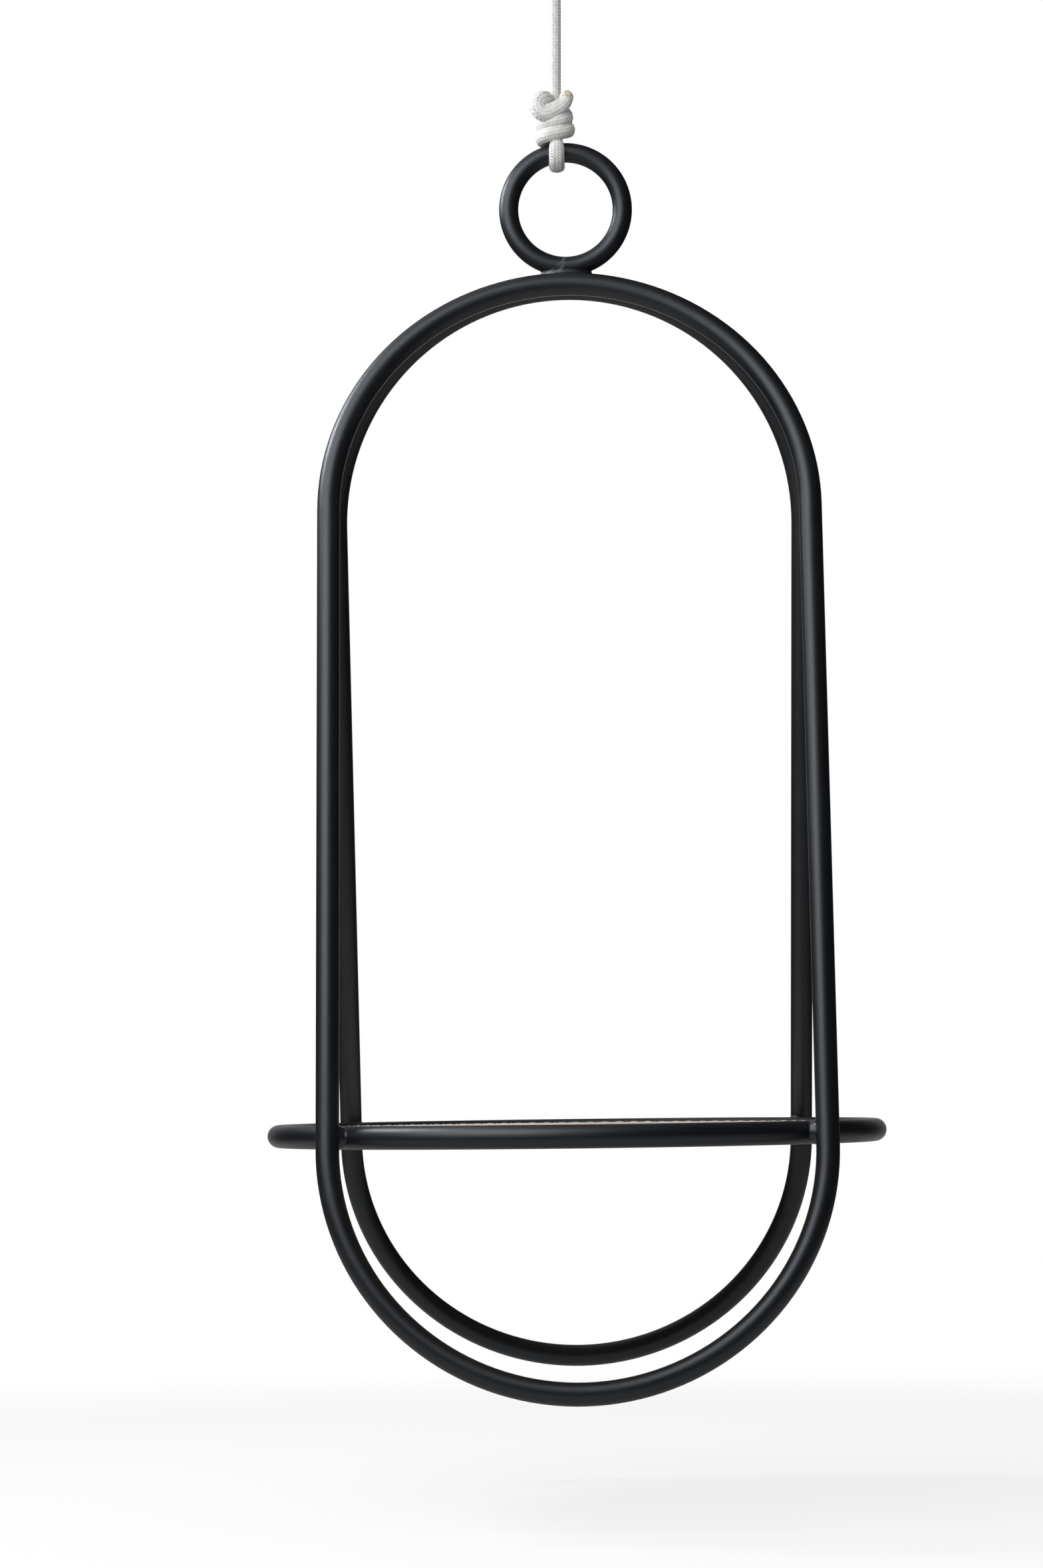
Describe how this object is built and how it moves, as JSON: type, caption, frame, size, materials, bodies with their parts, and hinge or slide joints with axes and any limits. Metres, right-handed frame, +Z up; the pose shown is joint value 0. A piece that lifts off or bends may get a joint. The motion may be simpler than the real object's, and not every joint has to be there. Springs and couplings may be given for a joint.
{
  "type": "hanging swing seat",
  "caption": "Hanging swing seat: a round padded seat inside splayed loops of black tube, with a hanging ring, a knotted braided cord and a ceiling swivel.",
  "frame": {"origin": "centre of the ceiling plate's top face, on the swivel's axis", "axes": "+Z up along the swivel's axis, -Y towards the front of the seat as pictured, +X to the viewer's right"},
  "size_m": [0.7661, 0.766, 1.9432],
  "materials": {
    "frame_black": "satin black powder coat on steel tube",
    "weld": "rippled weld bead under black coat, rubbed lighter in places",
    "fitting_black": "satin black powder coat on steel plate and bar",
    "bush_bronze": "turned bronze",
    "plated_steel": "zinc-plated steel, fine turning and forging marks",
    "birch_ply": "birch plywood, clear oiled",
    "seat_leather": "natural beige leather with a hand-stitched edge",
    "cord_braid": "off-white round braid, ends sealed by heat"
  },
  "bodies": {
    "ceiling_mount": {"ceiling_plate": "fitting_black", "swivel_housing": "fitting_black", "housing_weld": "weld", "swivel_bush": "bush_bronze"},
    "swivel": {"swivel_eye": "plated_steel", "thrust_washer": "plated_steel", "lock_nut": "plated_steel"},
    "cord": {"upper_noose": "cord_braid", "hanging_cord": "cord_braid", "lower_noose": "cord_braid"},
    "seat_frame": {"front_top_arch": "frame_black", "front_left_leg": "frame_black", "front_right_leg": "frame_black", "front_bottom_arch": "frame_black", "rear_top_arch": "frame_black", "rear_left_leg": "frame_black", "rear_right_leg": "frame_black", "rear_bottom_arch": "frame_black", "seat_ring": "frame_black", "seat_tabs": "frame_black", "hanging_ring": "frame_black", "hanger_weld": "weld", "ring_welds": "weld", "seat_board": "birch_ply", "seat_screws": "plated_steel", "seat_pad": "seat_leather", "seat_welt": "seat_leather"}
  },
  "joints": [
    {"name": "swivel_turn", "type": "hinge", "parent": "ceiling_mount", "child": "swivel", "pos_m": [0, 0, 0], "axis": [0, 0, 1], "continuous": true},
    {"name": "cord_swing", "type": "hinge", "parent": "swivel", "child": "cord", "pos_m": [0, 0, -0.1153], "axis": [1, 0, 0], "range_deg": [-35, 35]},
    {"name": "frame_rock", "type": "hinge", "parent": "cord", "child": "seat_frame", "pos_m": [0, 0, -0.4153], "axis": [1, 0, 0], "range_deg": [-25, 25]}
  ]
}
